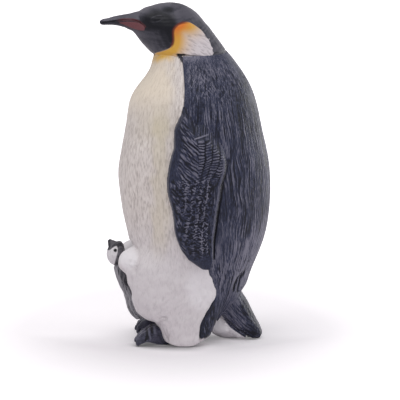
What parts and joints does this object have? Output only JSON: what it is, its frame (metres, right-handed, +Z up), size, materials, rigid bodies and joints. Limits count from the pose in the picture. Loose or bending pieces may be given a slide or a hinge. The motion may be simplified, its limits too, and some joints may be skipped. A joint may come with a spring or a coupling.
{
  "type": "penguin figurine",
  "caption": "Standing emperor penguin figurine with a chick on its feet, a moulded and hand-painted plastic display figure that stands on its soles and tail.",
  "frame": {"origin": "on the ground, at the bottom centre of the bounding box", "axes": "+Z up the height of the bird, -Y the way it faces, +X its left side"},
  "size_m": [0.0428, 0.043, 0.0862],
  "materials": {
    "white_paint": "cream-white paint on moulded plastic, satin",
    "slate_paint": "slate-blue paint with lighter dry-brushed ridges, satin",
    "hood_paint": "near-black paint, satin",
    "foot_paint": "charcoal paint, satin",
    "down_paint": "grey paint, matt",
    "cap_paint": "dark grey paint, matt"
  },
  "bodies": {
    "root": {"front_shell": "white_paint", "back_shell": "slate_paint", "head": "hood_paint", "left_flipper": "slate_paint", "right_flipper": "slate_paint", "tail": "slate_paint", "left_foot": "foot_paint", "right_foot": "foot_paint", "chick_body": "down_paint", "chick_head": "cap_paint", "chick_left_flipper": "cap_paint", "chick_right_flipper": "cap_paint"}
  },
  "joints": []
}
